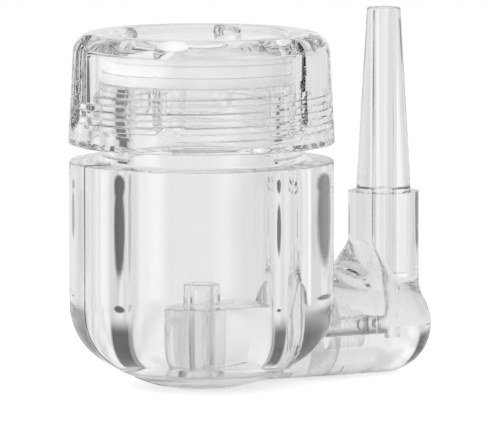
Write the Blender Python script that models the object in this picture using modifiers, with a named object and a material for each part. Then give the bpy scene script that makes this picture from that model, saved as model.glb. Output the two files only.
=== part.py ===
"""Clear acrylic carbon dioxide diffuser for an aquarium, with a screw cap over a ceramic disc.

The origin is the middle of the cup's flat foot. +Z runs up the cup's axis and +X along the arm to
the hose stem. Lengths are in metres.
"""

import math

import bmesh
import bpy
from mathutils import Matrix

MM = 0.001

# Fits
GAP = 0.3 * MM  # left between pieces that touch
PAST = 1 * MM  # how far a cutter runs past what it cuts, and a joined piece into the other

# Facets
SEGMENTS = 48  # round the cup and the cap
FINE_SEGMENTS = 28  # round the small tubes and bores
CHANNEL_SEGMENTS = 16
FLUTE_SEGMENTS = 24
THREAD_SEGMENTS = 36  # a turn of the thread
DOME_STEPS = 4
CORNER_STEPS = 7
FILLET_STEPS = 4
PLINTH_STEPS = 14  # half round
BALL_STEPS = 8  # a quarter round
CAP_CORNER_STEPS = 5
WINDOW_STEPS = 3
FLUTE_END_STEPS = 5
WEB_STEPS = 8
WEB_CURVE_STEPS = 6

# Cup
CUP_RADIUS = 16.0 * MM
CORNER_RADIUS = 7.7 * MM  # between the wall and the domed bottom
DOME_RADIUS = 22.5 * MM
FOOT_RADIUS = 4.5 * MM
LEDGE_Z = 27.3 * MM
LEDGE_BEVEL = 0.25 * MM
NECK_RADIUS = 12.5 * MM
NECK_TOP_Z = 36.9 * MM
NECK_BEVEL = 0.3 * MM
CHAMBER_RADIUS = 8.9 * MM
CHAMBER_FLOOR_Z = 2.8 * MM
CHAMBER_FILLET = 2.0 * MM
PLINTH_RADIUS = 4.5 * MM
PLINTH_TOP_Z = 9.8 * MM

# Gas way from the elbow to the nozzle
CHANNEL_Z = 5.95 * MM
CHANNEL_RADIUS = 0.8 * MM
ARM_RADIUS = 5.9 * MM
ARM_END_X = 16.1 * MM  # where the cup's own arm stub ends and the elbow starts
SPIGOT_RADIUS = 1.7 * MM
SPIGOT_END_X = 21.0 * MM
SPIGOT_ROOT_X = 12 * MM  # inside the cup's wall
NOZZLE_RADIUS = 2.25 * MM
NOZZLE_BORE = 1.1 * MM
NOZZLE_FOOT_Z = 7.2 * MM
NOZZLE_TOP_Z = 12.55 * MM
NOZZLE_SOCKET_Z = 3.8 * MM  # floor of the socket in the plinth

# Elbow and stem
BOSS_X = 25.4 * MM  # axis of the boss and the stem
BOSS_RADIUS = 4.35 * MM
BOSS_TOP_Z = 22.3 * MM
WEB_RISE = 4.5 * MM  # how far the sloping web climbs the boss above the arm's top
WEB_RUN = 3.3 * MM  # and how far it runs out along the arm
WEB_BEND = 1.6 * MM  # radius of its concave bend into the boss
WEB_HALF_ANGLE = math.radians(27)  # half of the sector it fills round the boss
WEB_SUNK = 1.9 * MM  # how far the web reaches into the arm
WEB_INSET = 0.15 * MM  # and into the boss
STEM_BORE = 1.1 * MM
SHANK_RADIUS = 2.1 * MM
SHANK_FOOT_Z = 12.3 * MM
STEM_BASE_RADIUS = 3.35 * MM
STEM_TIP_RADIUS = 2.05 * MM
STEM_TOP_Z = 44.85 * MM
STEM_TIP_BEVEL = 0.25 * MM

# Thread, one start, right-handed
THREAD_PITCH = 1.66 * MM
THREAD_START_Z = 30.25 * MM
THREAD_START_ANGLE = math.radians(225)
NECK_TURNS = 3.25
CAP_TURNS = 2.75
RIDGE_ROOT = 0.42 * MM  # half the ridge's height at its root
RIDGE_CREST = 0.16 * MM  # half its height at the crest
RIDGE_SUNK = 0.5 * MM  # how far a ridge reaches into its own wall
NECK_CREST_RADIUS = 13.2 * MM
CAP_CREST_RADIUS = 12.85 * MM

# Cap
CAP_FOOT_Z = 29.4 * MM
CAP_TOP_Z = 42.8 * MM
CAP_FOOT_RADIUS = 16.1 * MM
CAP_SHOULDER_RADIUS = 15.55 * MM
CAP_CORNER = 2.5 * MM
CAP_BORE = 13.5 * MM
LIP_Z = 40.6 * MM  # underside of the lip
WINDOW_RADIUS = 10.6 * MM
WINDOW_ROUND = 0.8 * MM
FLUTES = 6
FLUTE_FIRST_ANGLE = math.radians(-13)
FLUTE_RADIUS = 2.9 * MM
FLUTE_REACH = 15.35 * MM  # how near the axis a flute's lower end comes
FLUTE_END_Z = 33.4 * MM
FLUTE_LEAN = math.radians(5)

# Stack under the lip
DISC_RADIUS = 11.9 * MM
DISC_THICKNESS = 1.2 * MM
DISC_BEVEL = 0.15 * MM
SEAL_OUTER = 12.2 * MM
LOWER_SEAL_INNER = 9.3 * MM
UPPER_SEAL_INNER = 10.2 * MM
SEAL_BEVEL = 0.12 * MM
LOWER_SEAL_THICKNESS = 0.8 * MM
UPPER_SEAL_THICKNESS = 0.5 * MM


def clear_scene():
    """Start from a scene with no objects."""
    for obj in list(bpy.data.objects):
        bpy.data.objects.remove(obj, do_unlink=True)


def new_collection(name):
    collection = bpy.data.collections.new(name)
    bpy.context.scene.collection.children.link(collection)
    return collection


def make_material(name, colour, roughness, transmission=0.0):
    material = bpy.data.materials.new(name)
    material.use_nodes = True
    shader = material.node_tree.nodes["Principled BSDF"]
    shader.inputs["Base Color"].default_value = (*colour, 1.0)
    shader.inputs["Roughness"].default_value = roughness
    shader.inputs["Metallic"].default_value = 0.0
    shader.inputs["IOR"].default_value = 1.49
    shader.inputs["Transmission Weight"].default_value = transmission
    return material


def arc(centre, radius, start_deg, end_deg, steps):
    """Points (radius, height) along an arc, from start to end."""
    turn = math.radians(end_deg - start_deg) / steps
    first = math.radians(start_deg)
    return [
        (
            centre[0] + radius * math.cos(first + turn * i),
            centre[1] + radius * math.sin(first + turn * i),
        )
        for i in range(steps + 1)
    ]


def profile_object(name, points, closed, collection):
    """A chain of edges in the XZ plane, ready for a Screw modifier."""
    mesh = bpy.data.meshes.new(name)
    last = len(points)
    edges = [(i, (i + 1) % last) for i in range(last if closed else last - 1)]
    mesh.from_pydata([(x, 0.0, z) for x, z in points], edges, [])
    obj = bpy.data.objects.new(name, mesh)
    collection.objects.link(obj)
    return obj


def turned(name, points, collection, closed=False, segments=SEGMENTS):
    """A turned solid, from a profile that runs down its outer side."""
    obj = profile_object(name, points, closed, collection)
    screw = obj.modifiers.new("turn", "SCREW")
    screw.steps = segments
    screw.render_steps = segments
    screw.use_merge_vertices = True
    screw.merge_threshold = 0.00001
    return obj


def as_mesh_object(obj, collection):
    """Replace an object with its evaluated mesh."""
    evaluated = obj.evaluated_get(bpy.context.evaluated_depsgraph_get())
    mesh = bpy.data.meshes.new_from_object(evaluated)
    solid = bpy.data.objects.new(obj.name + "_solid", mesh)
    solid.matrix_world = obj.matrix_world
    collection.objects.link(solid)
    bpy.data.objects.remove(obj, do_unlink=True)
    return solid


def close_mesh(mesh):
    """Fill the open ends of a swept mesh and face it outwards."""
    shape = bmesh.new()
    shape.from_mesh(mesh)
    bmesh.ops.holes_fill(shape, edges=shape.edges, sides=0)
    bmesh.ops.recalc_face_normals(shape, faces=shape.faces)
    shape.to_mesh(mesh)
    shape.free()


def thread_ridge(name, inner, outer, crest_inside, start_z, turns, collection):
    """One helical ridge of trapezoid section between two radii."""
    at_inner = RIDGE_CREST if crest_inside else RIDGE_ROOT
    at_outer = RIDGE_ROOT if crest_inside else RIDGE_CREST
    section = [(inner, at_inner), (outer, at_outer), (outer, -at_outer), (inner, -at_inner)]
    obj = profile_object(name, section, True, collection)
    steps = round(THREAD_SEGMENTS * turns)
    screw = obj.modifiers.new("thread", "SCREW")
    screw.angle = 2 * math.pi * turns
    screw.screw_offset = THREAD_PITCH * turns
    screw.steps = steps
    screw.render_steps = steps
    obj.location.z = start_z
    obj.rotation_euler.z = THREAD_START_ANGLE
    bpy.context.view_layer.update()
    solid = as_mesh_object(obj, collection)
    close_mesh(solid.data)
    return guide(solid)


def guide(obj):
    """Mark an object that only shapes others."""
    obj.hide_render = True
    obj.display_type = "WIRE"
    return obj


def combine(obj, other, operation):
    boolean = obj.modifiers.new(other.name, "BOOLEAN")
    boolean.operation = operation
    boolean.solver = "EXACT"
    boolean.object = other


def cut(obj, other):
    combine(obj, other, "DIFFERENCE")


def join(obj, other):
    combine(obj, other, "UNION")


def rod(name, radius, low, high, collection, centre=(0.0, 0.0), segments=FINE_SEGMENTS):
    """An upright cylinder between two heights."""
    shape = bmesh.new()
    bmesh.ops.create_cone(
        shape,
        cap_ends=True,
        segments=segments,
        radius1=radius,
        radius2=radius,
        depth=high - low,
    )
    # Half a facet round, so that no edge of the rod lies in the object's plane of symmetry.
    half_facet = Matrix.Rotation(math.pi / segments, 3, "Z")
    bmesh.ops.rotate(shape, verts=shape.verts, cent=(0.0, 0.0, 0.0), matrix=half_facet)
    return placed(name, shape, (*centre, (low + high) / 2), collection)


def cross_rod(name, radius, low, high, collection, segments=FINE_SEGMENTS):
    """A cylinder along the gas channel, between two X positions."""
    obj = rod(name, radius, -(high - low) / 2, (high - low) / 2, collection, segments=segments)
    obj.rotation_euler.y = math.pi / 2
    obj.location = ((low + high) / 2, 0.0, CHANNEL_Z)
    return obj


def placed(name, shape, location, collection):
    """Turn a bmesh into a named object."""
    mesh = bpy.data.meshes.new(name)
    shape.to_mesh(mesh)
    shape.free()
    mesh.shade_smooth()
    mesh.set_sharp_from_angle(angle=math.radians(35))
    obj = bpy.data.objects.new(name, mesh)
    obj.location = location
    collection.objects.link(obj)
    return obj


def prism(name, outline, low, high, collection):
    """A flat outline, raised between two heights."""
    shape = bmesh.new()
    face = shape.faces.new([shape.verts.new((x, y, low)) for x, y in outline])
    swept = bmesh.ops.extrude_face_region(shape, geom=[face])
    moved = [item for item in swept["geom"] if isinstance(item, bmesh.types.BMVert)]
    bmesh.ops.translate(shape, verts=moved, vec=(0.0, 0.0, high - low))
    bmesh.ops.recalc_face_normals(shape, faces=shape.faces)
    return placed(name, shape, (0.0, 0.0, 0.0), collection)


def cup_outline():
    """The cup's outside, from the neck's top down to the foot."""
    dome_z = math.sqrt(DOME_RADIUS**2 - FOOT_RADIUS**2)
    corner_x = CUP_RADIUS - CORNER_RADIUS
    corner_z = dome_z - math.sqrt((DOME_RADIUS - CORNER_RADIUS) ** 2 - corner_x**2)
    meet = -90 + math.degrees(math.asin(corner_x / (DOME_RADIUS - CORNER_RADIUS)))
    foot = -90 + math.degrees(math.asin(FOOT_RADIUS / DOME_RADIUS))
    points = [
        (0.0, NECK_TOP_Z),
        (NECK_RADIUS - NECK_BEVEL, NECK_TOP_Z),
        (NECK_RADIUS, NECK_TOP_Z - NECK_BEVEL),
        (NECK_RADIUS, LEDGE_Z),
        (CUP_RADIUS - LEDGE_BEVEL, LEDGE_Z),
        (CUP_RADIUS, LEDGE_Z - LEDGE_BEVEL),
    ]
    points += arc((corner_x, corner_z), CORNER_RADIUS, 0, meet, CORNER_STEPS)
    points += arc((0.0, dome_z), DOME_RADIUS, meet, foot, DOME_STEPS)[1:]
    points.append((0.0, 0.0))
    return points


def chamber_outline():
    """The space inside the cup, open past the neck's top."""
    fillet_centre = (CHAMBER_RADIUS - CHAMBER_FILLET, CHAMBER_FLOOR_Z + CHAMBER_FILLET)
    points = [(0.0, NECK_TOP_Z + PAST), (CHAMBER_RADIUS, NECK_TOP_Z + PAST)]
    points += arc(fillet_centre, CHAMBER_FILLET, 0, -90, FILLET_STEPS)
    points.append((0.0, CHAMBER_FLOOR_Z))
    return points


def plinth(collection):
    """Half-round pillar on the cup's axis, widened into a web that reaches the arm's wall."""
    reach = CHAMBER_RADIUS + PAST
    outline = arc((0.0, 0.0), PLINTH_RADIUS, 90, 270, PLINTH_STEPS)
    outline += [(reach, -PLINTH_RADIUS), (reach, PLINTH_RADIUS)]
    return prism("plinth_block", outline, CHAMBER_FLOOR_Z - PAST, PLINTH_TOP_Z, collection)


def make_cup(parts, cutters):
    cup = turned("cup", cup_outline(), parts)
    join(cup, guide(cross_rod("arm_stub", ARM_RADIUS, FOOT_RADIUS, ARM_END_X, cutters, SEGMENTS)))
    join(cup, guide(cross_rod("arm_spigot", SPIGOT_RADIUS, SPIGOT_ROOT_X, SPIGOT_END_X, cutters)))
    cut(cup, guide(turned("chamber", chamber_outline(), cutters)))
    join(cup, guide(plinth(cutters)))
    socket_radius = NOZZLE_RADIUS + GAP
    socket_top = PLINTH_TOP_Z + PAST
    cut(cup, guide(rod("nozzle_socket", socket_radius, NOZZLE_SOCKET_Z, socket_top, cutters)))
    channel_end = SPIGOT_END_X + PAST
    channel = cross_rod("cup_channel", CHANNEL_RADIUS, 0.0, channel_end, cutters, CHANNEL_SEGMENTS)
    cut(cup, guide(channel))
    ridge = thread_ridge(
        "neck_thread",
        NECK_RADIUS - RIDGE_SUNK,
        NECK_CREST_RADIUS,
        False,
        THREAD_START_Z,
        NECK_TURNS,
        cutters,
    )
    join(cup, ridge)
    return cup


def cap_outline():
    """The cap's section: down its outer side, and back up its bore."""
    corner = (CAP_SHOULDER_RADIUS - CAP_CORNER, CAP_TOP_Z - CAP_CORNER)
    window = (WINDOW_RADIUS + WINDOW_ROUND, CAP_TOP_Z - WINDOW_ROUND)
    lead_in = 0.5 * MM
    points = arc(corner, CAP_CORNER, 90, 0, CAP_CORNER_STEPS)
    points += [
        (CAP_FOOT_RADIUS, CAP_FOOT_Z + LEDGE_BEVEL),
        (CAP_FOOT_RADIUS - LEDGE_BEVEL, CAP_FOOT_Z),
        (CAP_BORE + lead_in, CAP_FOOT_Z),
        (CAP_BORE, CAP_FOOT_Z + lead_in),
        (CAP_BORE, LIP_Z),
        (WINDOW_RADIUS, LIP_Z),
    ]
    points += arc(window, WINDOW_ROUND, 180, 90, WINDOW_STEPS)
    return points


def flute_cutter(name, angle, collection):
    """A round-ended rod that leans in with the cap's side."""
    length = CAP_TOP_Z - FLUTE_END_Z + FLUTE_RADIUS
    outline = [(0.0, length), (FLUTE_RADIUS, length)]
    outline += arc((0.0, 0.0), FLUTE_RADIUS, 0, -90, FLUTE_END_STEPS)
    cutter = turned(name, outline, collection, segments=FLUTE_SEGMENTS)
    distance = FLUTE_REACH + FLUTE_RADIUS
    cutter.location = (distance * math.cos(angle), distance * math.sin(angle), FLUTE_END_Z)
    cutter.rotation_euler = (0.0, -FLUTE_LEAN, angle)
    return guide(cutter)


def make_cap(parts, cutters):
    cap = turned("cap", cap_outline(), parts, closed=True)
    for index in range(FLUTES):
        angle = FLUTE_FIRST_ANGLE + 2 * math.pi * index / FLUTES
        cut(cap, flute_cutter(f"flute_{index + 1}", angle, cutters))
    ridge = thread_ridge(
        "cap_thread",
        CAP_CREST_RADIUS,
        CAP_BORE + RIDGE_SUNK,
        True,
        THREAD_START_Z + THREAD_PITCH / 2,
        CAP_TURNS,
        cutters,
    )
    join(cap, ridge)
    return cap


def make_ring(name, inner, outer, low, high, bevel, collection):
    """A flat ring with bevelled edges."""
    points = [
        (outer - bevel, high),
        (outer, high - bevel),
        (outer, low + bevel),
        (outer - bevel, low),
        (inner + bevel, low),
        (inner, low + bevel),
        (inner, high - bevel),
        (inner + bevel, high),
    ]
    return turned(name, points, collection, closed=True)


def make_stack(parts):
    """The seal, disc and gasket that the cap clamps on the neck."""
    seal_low = NECK_TOP_Z + GAP
    seal_high = seal_low + LOWER_SEAL_THICKNESS
    lower = make_ring(
        "lower_seal", LOWER_SEAL_INNER, SEAL_OUTER, seal_low, seal_high, SEAL_BEVEL, parts
    )
    disc_low = seal_high + GAP
    disc_high = disc_low + DISC_THICKNESS
    disc_outline = [
        (0.0, disc_high),
        (DISC_RADIUS - DISC_BEVEL, disc_high),
        (DISC_RADIUS, disc_high - DISC_BEVEL),
        (DISC_RADIUS, disc_low + DISC_BEVEL),
        (DISC_RADIUS - DISC_BEVEL, disc_low),
        (0.0, disc_low),
    ]
    disc = turned("ceramic_disc", disc_outline, parts)
    gasket_high = LIP_Z - GAP
    gasket_low = gasket_high - UPPER_SEAL_THICKNESS
    upper = make_ring(
        "upper_seal", UPPER_SEAL_INNER, SEAL_OUTER, gasket_low, gasket_high, SEAL_BEVEL, parts
    )
    return lower, disc, upper


def make_nozzle(parts):
    """Open tube that stands in the plinth's socket and counts bubbles."""
    return make_tube(
        "nozzle_tube",
        [(NOZZLE_RADIUS, NOZZLE_TOP_Z), (NOZZLE_RADIUS, NOZZLE_FOOT_Z)],
        NOZZLE_BORE,
        0.0,
        parts,
    )


def make_tube(name, outside, bore, axis_x, collection):
    """A turned tube, from its outside, top to bottom, and one bore."""
    points = outside + [(bore, outside[-1][1]), (bore, outside[0][1])]
    tube = turned(name, points, collection, closed=True, segments=FINE_SEGMENTS)
    tube.location.x = axis_x
    return tube


def make_stem(parts):
    """Tapered hose stem with the shank that is bonded in the boss. Its base lies in a shallow seat."""
    foot = BOSS_TOP_Z
    outside = [
        (STEM_TIP_RADIUS - STEM_TIP_BEVEL, STEM_TOP_Z),
        (STEM_TIP_RADIUS, STEM_TOP_Z - STEM_TIP_BEVEL),
        (STEM_BASE_RADIUS, foot),
        (SHANK_RADIUS, foot),
        (SHANK_RADIUS, SHANK_FOOT_Z),
    ]
    return make_tube("hose_stem", outside, STEM_BORE, BOSS_X, parts)


def make_elbow(parts, cutters):
    """Arm pipe with a ball end, turned about the arm, and the boss that stands on it."""
    ball = arc((0.0, 0.0), ARM_RADIUS, 90, 0, BALL_STEPS)
    start = ARM_END_X + GAP - BOSS_X
    outline = ball + [(ARM_RADIUS, start), (0.0, start)]
    elbow = turned("elbow", outline, parts)
    elbow.location = (BOSS_X, 0.0, CHANNEL_Z)
    elbow.rotation_euler.y = math.pi / 2
    centre = (BOSS_X, 0.0)
    boss_foot = CHANNEL_Z - PAST
    join(elbow, guide(rod("boss", BOSS_RADIUS, boss_foot, BOSS_TOP_Z, cutters, centre, SEGMENTS)))
    join(elbow, guide(elbow_web(cutters)))
    socket_foot = SHANK_FOOT_Z - GAP
    socket_radius = SHANK_RADIUS + GAP
    socket_top = BOSS_TOP_Z + PAST
    seat_foot = BOSS_TOP_Z - GAP
    seat_radius = STEM_BASE_RADIUS + GAP
    cut(elbow, guide(rod("stem_seat", seat_radius, seat_foot, socket_top, cutters, centre)))
    cut(elbow, guide(rod("stem_socket", socket_radius, socket_foot, socket_top, cutters, centre)))
    bore_foot = CHANNEL_Z - STEM_BORE
    cut(elbow, guide(rod("boss_bore", STEM_BORE, bore_foot, socket_foot + PAST, cutters, centre)))
    channel_start = SPIGOT_END_X - PAST
    channel = cross_rod(
        "elbow_channel", CHANNEL_RADIUS, channel_start, BOSS_X, cutters, CHANNEL_SEGMENTS
    )
    cut(elbow, guide(channel))
    counterbore_start = ARM_END_X - PAST
    counterbore_end = SPIGOT_END_X + GAP
    counterbore = cross_rod(
        "counterbore", SPIGOT_RADIUS + GAP, counterbore_start, counterbore_end, cutters
    )
    cut(elbow, guide(counterbore))
    return elbow


def elbow_web(collection):
    """Sloping web between the arm's top and the cup side of the boss, a sector turned about the boss."""
    arm_top = CHANNEL_Z + ARM_RADIUS
    foot = arm_top - WEB_SUNK
    steepness = math.degrees(math.atan2(WEB_RISE, WEB_RUN))
    bend_up = WEB_BEND * math.tan(math.radians(90 - steepness) / 2)
    centre = (BOSS_RADIUS - WEB_INSET + WEB_BEND, arm_top + WEB_RISE + bend_up)
    outline = arc(centre, WEB_BEND, 180, 270 - steepness, WEB_CURVE_STEPS)
    outline.append((BOSS_RADIUS + WEB_RUN * (1 + WEB_SUNK / WEB_RISE), foot))
    outline += [(BOSS_RADIUS / 2, foot), (BOSS_RADIUS / 2, centre[1])]
    obj = profile_object("web_block", outline, True, collection)
    screw = obj.modifiers.new("sector", "SCREW")
    screw.angle = 2 * WEB_HALF_ANGLE
    screw.steps = WEB_STEPS
    screw.render_steps = WEB_STEPS
    obj.location.x = BOSS_X
    obj.rotation_euler.z = math.pi - WEB_HALF_ANGLE
    bpy.context.view_layer.update()
    solid = as_mesh_object(obj, collection)
    close_mesh(solid.data)
    return solid


def dress(obj, colour, roughness, transmission=0.0):
    """Give an object its own material."""
    obj.data.materials.clear()
    obj.data.materials.append(make_material(obj.name, colour, roughness, transmission))


def main():
    clear_scene()
    parts = new_collection("co2_diffuser")
    cutters = new_collection("cutters")
    clear = (0.97, 0.98, 0.98)
    silicone = (0.88, 0.9, 0.9)
    ceramic = (0.93, 0.93, 0.91)
    dress(make_cup(parts, cutters), clear, 0.03, 1.0)
    dress(make_cap(parts, cutters), clear, 0.04, 1.0)
    dress(make_elbow(parts, cutters), clear, 0.03, 1.0)
    dress(make_stem(parts), clear, 0.04, 1.0)
    dress(make_nozzle(parts), clear, 0.05, 1.0)
    lower, disc, upper = make_stack(parts)
    dress(lower, silicone, 0.35, 0.5)
    dress(disc, ceramic, 0.85)
    dress(upper, silicone, 0.35, 0.5)


main()
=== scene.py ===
"""Looks of a clear acrylic carbon dioxide diffuser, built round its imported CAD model.

Each CAD node is replaced by a fine mesh of the same size. Lengths are in metres, in the CAD's frame:
the origin is the middle of the cup's foot, +Z runs up the cup and +X along the arm.
"""

import math

import bmesh
import bpy
import numpy as np
from mathutils import Matrix, Vector


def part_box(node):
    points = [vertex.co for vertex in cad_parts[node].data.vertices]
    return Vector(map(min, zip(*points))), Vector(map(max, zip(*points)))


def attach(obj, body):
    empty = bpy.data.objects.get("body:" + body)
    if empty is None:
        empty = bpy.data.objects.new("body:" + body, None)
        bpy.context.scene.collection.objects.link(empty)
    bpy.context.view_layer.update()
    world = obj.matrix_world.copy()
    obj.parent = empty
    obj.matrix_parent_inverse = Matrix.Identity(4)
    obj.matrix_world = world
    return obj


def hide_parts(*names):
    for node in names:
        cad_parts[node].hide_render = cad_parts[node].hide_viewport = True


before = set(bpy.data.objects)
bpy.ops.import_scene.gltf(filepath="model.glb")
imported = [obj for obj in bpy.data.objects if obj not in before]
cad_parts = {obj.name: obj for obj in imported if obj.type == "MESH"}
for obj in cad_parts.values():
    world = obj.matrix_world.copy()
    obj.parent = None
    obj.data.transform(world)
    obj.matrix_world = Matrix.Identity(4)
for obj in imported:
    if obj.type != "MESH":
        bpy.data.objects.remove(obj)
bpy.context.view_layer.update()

MM = 0.001
TOUCH = 0.02 * MM  # air left between pieces that touch
BOND = 0.01 * MM  # overlap of bonded pieces, which leaves no film of air to mirror
MERGE = 0.002 * MM  # vertices closer than this are one
SLICE = 1 * MM  # how far a cutter runs past what it cuts
PICK = 0.02 * MM  # tolerance of the tests that pick out faces

# Read from the frame
CUP_LOW, CUP_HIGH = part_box("cup")
CAP_LOW, CAP_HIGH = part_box("cap")
ELBOW_LOW, ELBOW_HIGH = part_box("elbow")
STEM_LOW, STEM_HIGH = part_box("hose_stem")
NOZZLE_LOW, NOZZLE_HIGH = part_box("nozzle_tube")
_, SEAL_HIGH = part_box("lower_seal")
DISC_LOW, DISC_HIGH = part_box("ceramic_disc")
GASKET_LOW, GASKET_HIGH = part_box("upper_seal")  # the seal that rides with the cap

CUP_RADIUS = -CUP_LOW[0]
NECK_TOP_Z = CUP_HIGH[2]
SPIGOT_END_X = CUP_HIGH[0]
CAP_FOOT_Z = CAP_LOW[2]
CAP_TOP_Z = CAP_HIGH[2]
CAP_FOOT_RADIUS = CAP_HIGH[1]
ARM_RADIUS = ELBOW_HIGH[1]
CHANNEL_Z = ELBOW_LOW[2] + ARM_RADIUS
BOSS_X = ELBOW_HIGH[0] - ARM_RADIUS
BOSS_TOP_Z = ELBOW_HIGH[2]
STEM_BASE_RADIUS = STEM_HIGH[1]
STEM_TOP_Z = STEM_HIGH[2]
SHANK_FOOT_Z = STEM_LOW[2]
NOZZLE_RADIUS = NOZZLE_HIGH[0]
NOZZLE_FOOT_Z = NOZZLE_LOW[2]
NOZZLE_TOP_Z = NOZZLE_HIGH[2]
SEAL_OUTER = GASKET_HIGH[0]
DISC_RADIUS = DISC_HIGH[0]

# Cup
CORNER_RADIUS = 7.7 * MM
DOME_RADIUS = 22.5 * MM
FOOT_RADIUS = 4.5 * MM
LEDGE_Z = 27.3 * MM
LEDGE_ROUND = 0.22 * MM
NECK_RADIUS = 12.5 * MM
NECK_ROUND = 0.3 * MM
NECK_ROUND_STEPS = 5
NECK_FILLET = 0.35 * MM
CHAMBER_RADIUS = 8.9 * MM
CHAMBER_FLOOR_Z = 2.8 * MM
CHAMBER_FILLET = 2.0 * MM
CHAMBER_BEVEL = 0.3 * MM  # round its mouth
PLINTH_RADIUS = 4.5 * MM
PLINTH_TOP_Z = 9.8 * MM
PLINTH_EDGE = 0.25 * MM
PLINTH_EDGE_STEPS = 4
NOZZLE_SOCKET_Z = 3.8 * MM
PARTING_HEIGHT = 0.085 * MM  # of the raised line where the mould's halves met
PARTING_HALF_ANGLE = math.radians(0.35)
PARTING_FLANK = 1.6  # how steep its sides are
PARTING_COLUMNS = (-2.0, -1.0, -0.4, 0.4, 1.0, 2.0)  # of vertices across it, in half angles

# Gas way
ARM_ROOT_X = 4.5 * MM  # inside the cup's wall
ARM_END_X = 16.1 * MM
CHANNEL_RADIUS = 0.8 * MM
SPIGOT_RADIUS = 1.7 * MM
SPIGOT_ROOT_X = 12 * MM  # inside the arm
ROUGH_CHANNEL = ((19.8 * MM, 21.9 * MM), (23.1 * MM, 24.2 * MM))  # where drill marks show, along X
NOZZLE_BORE = 1.1 * MM
NOZZLE_EDGE = 0.15 * MM

# Elbow and stem
BOSS_RADIUS = 4.35 * MM
WEB_RISE = 4.5 * MM  # how far the sloping web climbs the boss above the arm's top
WEB_RUN = 3.3 * MM  # and how far it runs out along the arm
WEB_TOP_BEND = 0.35 * MM  # how softly it meets the boss
WEB_FOOT_BEND = 2.0 * MM  # and the arm
LEAST_BEND = 0.3 * MM
BLEND_SIZE = 1.1 * MM  # how far the blend at the boss's sides reaches
FAR_BLEND_SIZE = 0.35 * MM  # and on the side away from the cup
STEM_BORE = 1.1 * MM
SHANK_RADIUS = 2.1 * MM
STEM_TIP_RADIUS = 2.05 * MM
STEM_TIP_ROUND = 0.25 * MM
STEM_BASE_BEVEL = 0.1 * MM
ELBOW_VOXEL = 0.22 * MM
PULL_LIMIT = 0.4 * MM  # the furthest that one round of fitting moves a vertex
RING_X = 21.1 * MM  # fine groove round the elbow's arm
RING_DEPTH = 0.07 * MM
RING_CUTTER_RISE = 0.3 * MM  # how far its V-shaped cutter stands out of the arm
RING_CUTTER_HALF = 0.315 * MM  # and half its width there

# Thread
THREAD_PITCH = 1.66 * MM
THREAD_START_Z = 30.25 * MM
THREAD_START_ANGLE = math.radians(225)
NECK_TURNS = 3.25
CAP_TURNS = 2.75
RIDGE_ROOT = 0.5 * MM
RIDGE_CREST = 0.3 * MM
THREAD_FADE_TURNS = 0.11  # over which each end of a ridge dies out
THREAD_ROWS = 32  # rows of faces in one pitch
NECK_CREST_RADIUS = 13.2 * MM
CAP_CREST_RADIUS = 12.85 * MM

# Cap
CAP_SHOULDER_RADIUS = 15.55 * MM
CAP_CORNER = 2.5 * MM
CAP_BORE = 13.5 * MM
CAP_EDGE_ROUND = 0.2 * MM
CAP_LEAD_IN = 0.5 * MM
LIP_Z = 40.6 * MM
WINDOW_RADIUS = 10.6 * MM
WINDOW_ROUND = 0.8 * MM
LIP_FILLET = 0.25 * MM  # where the lip meets the bore
LIP_EDGE = 0.15 * MM  # and where it meets the window
FLUTES = 6
FLUTE_FIRST_ANGLE = math.radians(-13)
FLUTE_HALF_WIDTH = 2.05 * MM
FLUTE_DEPTH = 0.75 * MM
FLUTE_END_Z = 33.4 * MM  # centre of a flute's round lower end
FLUTE_TOP_RUN = 1.6 * MM  # how far up the shoulder its round upper end is centred
FLUTE_SPREAD_DEG = 8.4  # how far the close columns of vertices reach to each side of a flute
FLUTE_STEP_DEG = 0.3
COLUMNS_BETWEEN_FLUTES = 30

# Seals and disc
LOWER_SEAL_INNER = 9.3 * MM
UPPER_SEAL_INNER = 10.2 * MM
SEAL_EDGE = 0.08 * MM
DISC_BEVEL = 0.06 * MM

# Camera
VIEW_AZIMUTH = math.radians(-29.2)
VIEW_ELEVATION = math.radians(6.1)
VIEW_DISTANCE = 1.0
VIEW_LENS_MM = 595.5
VIEW_SENSOR_MM = 36.0
VIEW_AIM_RIGHT = 5.85 * MM
VIEW_AIM_Z = 20.25 * MM

# Light tent. Its dark and bright parts, as the plastic sees them: where each starts and ends in its
# turn from straight behind the object and in its height, both in degrees, and the share of the light
# that it takes away, or adds where it is below 0.
TENT_CARDS = (
    ((-76.0, -38.0), (4.0, 48.0), 0.9),
    ((50.0, 80.0), (4.0, 42.0), 0.85),
    ((-104.0, -84.0), (-40.0, 60.0), 0.5),
    ((-36.0, -11.0), (-90.0, 60.0), -0.18),
    ((4.0, 16.0), (-90.0, 60.0), -0.12),
)
CARD_SOFTNESS = 6.0  # degrees over which a card's edge fades
TENT_LIGHT = 0.84
TENT_SHADE = 0.68  # its least light, where it is unevenly lit
SIDE_LIGHT = 1.8  # what lights the floor and the disc from the sides, with no cards
TOP_LIGHT = 0.6  # and from above
LEFT_LIGHT = 0.8  # how much stronger the side light is at the left

# Dark cards that stand near the table's edge, seen only through the plastic: turn and half-width in
# degrees, height of the middle and half-height.
NEAR_CARDS = (
    (-58.0, 14.0, -12 * MM, 10.5 * MM),
    (67.0, 5.0, -12 * MM, 5 * MM),
)
NEAR_CARD_DISTANCE = 0.3
NEAR_CARD_RINGS = 8
NEAR_CARD_CORNERS = 48

# Floor
FLOOR_RADIUS = 0.09
FLOOR_DROP = 0.05 * MM  # below the foot
FLOOR_ALBEDO = 0.8
FLOOR_GLOW = 0.5  # as of a light table
INNER_ALBEDO = 0.65  # of the floor that shows through the plastic
PAINTED_LIGHT_POOL = 0.25  # a painted pool of light in its middle, under the cup
PAINTED_LIGHT_POOL_REACH = 18 * MM

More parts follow.
